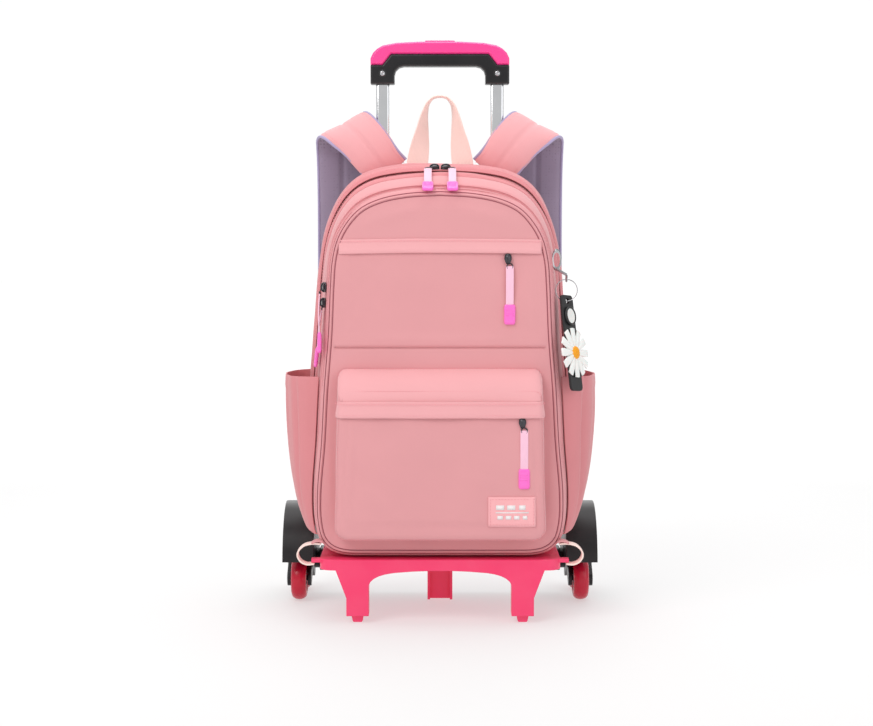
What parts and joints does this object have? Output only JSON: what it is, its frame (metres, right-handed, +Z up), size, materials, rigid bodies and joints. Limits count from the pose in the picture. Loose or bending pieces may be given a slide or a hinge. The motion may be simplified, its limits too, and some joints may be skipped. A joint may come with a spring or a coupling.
{
  "type": "wheeled backpack",
  "caption": "School backpack on a trolley with a pull-out handle, front feet and a stair-climbing wheel set on each side.",
  "frame": {"origin": "middle of the box round the whole object, on the ground under it", "axes": "+Z up from the ground; the bag's front faces -Y; +X is to the right seen from the front"},
  "size_m": [0.3638, 0.2598, 0.6526],
  "materials": {
    "cloth": "matt woven polyester",
    "cloth_light": "matt woven polyester, lighter where it faces up",
    "cloth_side": "matt woven polyester, darker in the folds",
    "zip_tape": "zip tape with coil teeth",
    "air_mesh": "open spacer mesh",
    "webbing": "ribbed webbing",
    "base_plastic": "satin moulded plastic",
    "black_plastic": "satin moulded plastic",
    "wheel_rubber": "glossy cast tyre",
    "grip_plastic": "satin moulded plastic",
    "tube_aluminium": "polished tube",
    "steel": "nickel plate",
    "gunmetal": "dark plated zinc",
    "pull_plastic": "soft moulded tip on a woven ribbon",
    "charm_white": "moulded rubber",
    "charm_black": "moulded rubber strap"
  },
  "bodies": {
    "root": {"main_compartment": "cloth", "front_compartment": "cloth", "front_pocket": "cloth", "upper_placket": "cloth_light", "pocket_placket": "cloth_light", "label_patch": "cloth_light", "side_pocket_left": "cloth_side", "side_pocket_right": "cloth_side", "main_zip": "zip_tape", "front_zip": "zip_tape", "back_panel": "air_mesh", "trolley_sleeve": "cloth_side", "strap_left": "cloth_light", "strap_right": "cloth_light", "strap_webbing_left": "webbing", "strap_webbing_right": "webbing", "carry_loop": "webbing", "corner_loop_left": "webbing", "corner_loop_right": "webbing", "strap_adjuster_left": "black_plastic", "strap_adjuster_right": "black_plastic", "key_clasp": "steel", "key_ring": "steel", "charm_strap": "charm_black", "charm_badge": "charm_white", "flower_charm": "charm_white", "base": "base_plastic", "axle_beam": "black_plastic", "axle": "steel", "mudguard_left": "black_plastic", "mudguard_right": "black_plastic", "outer_tube_left": "tube_aluminium", "outer_tube_right": "tube_aluminium", "tube_bracket": "black_plastic", "zip_slider_1": "gunmetal", "zip_pull_1": "pull_plastic", "zip_slider_2": "gunmetal", "zip_pull_2": "pull_plastic", "zip_slider_3": "gunmetal", "zip_pull_3": "pull_plastic", "zip_slider_4": "gunmetal", "zip_pull_4": "pull_plastic", "zip_slider_5": "gunmetal", "zip_pull_5": "pull_plastic", "zip_slider_6": "gunmetal", "zip_pull_6": "pull_plastic"},
    "handle": {"inner_tube_left": "tube_aluminium", "inner_tube_right": "tube_aluminium", "grip_body": "black_plastic", "grip_cover": "grip_plastic"},
    "button": {"release_button": "grip_plastic"},
    "star_left": {"star_left": "black_plastic"},
    "wheel_left_1": {"wheel_left_1": "wheel_rubber"},
    "wheel_left_2": {"wheel_left_2": "wheel_rubber"},
    "wheel_left_3": {"wheel_left_3": "wheel_rubber"},
    "star_right": {"star_right": "black_plastic"},
    "wheel_right_1": {"wheel_right_1": "wheel_rubber"},
    "wheel_right_2": {"wheel_right_2": "wheel_rubber"},
    "wheel_right_3": {"wheel_right_3": "wheel_rubber"}
  },
  "joints": [
    {"name": "handle_slide", "type": "slide", "parent": "root", "child": "handle", "axis": [0, 0, 1], "range_m": [-0.092, 0.254]},
    {"name": "button_press", "type": "slide", "parent": "handle", "child": "button", "axis": [0, 0, -1], "range_m": [0, 0.003], "stiffness_N_per_m": 400},
    {"name": "star_left_turn", "type": "hinge", "parent": "root", "child": "star_left", "pos_m": [-0.1645, 0.06218, 0.0435], "axis": [1, 0, 0], "continuous": true},
    {"name": "wheel_left_1_spin", "type": "hinge", "parent": "star_left", "child": "wheel_left_1", "pos_m": [-0.1645, 0.09422, 0.025], "axis": [1, 0, 0], "continuous": true},
    {"name": "wheel_left_2_spin", "type": "hinge", "parent": "star_left", "child": "wheel_left_2", "pos_m": [-0.1645, 0.06218, 0.0805], "axis": [1, 0, 0], "continuous": true},
    {"name": "wheel_left_3_spin", "type": "hinge", "parent": "star_left", "child": "wheel_left_3", "pos_m": [-0.1645, 0.03014, 0.025], "axis": [1, 0, 0], "continuous": true},
    {"name": "star_right_turn", "type": "hinge", "parent": "root", "child": "star_right", "pos_m": [0.1645, 0.06218, 0.0435], "axis": [1, 0, 0], "continuous": true},
    {"name": "wheel_right_1_spin", "type": "hinge", "parent": "star_right", "child": "wheel_right_1", "pos_m": [0.1645, 0.09422, 0.025], "axis": [1, 0, 0], "continuous": true},
    {"name": "wheel_right_2_spin", "type": "hinge", "parent": "star_right", "child": "wheel_right_2", "pos_m": [0.1645, 0.06218, 0.0805], "axis": [1, 0, 0], "continuous": true},
    {"name": "wheel_right_3_spin", "type": "hinge", "parent": "star_right", "child": "wheel_right_3", "pos_m": [0.1645, 0.03014, 0.025], "axis": [1, 0, 0], "continuous": true}
  ]
}
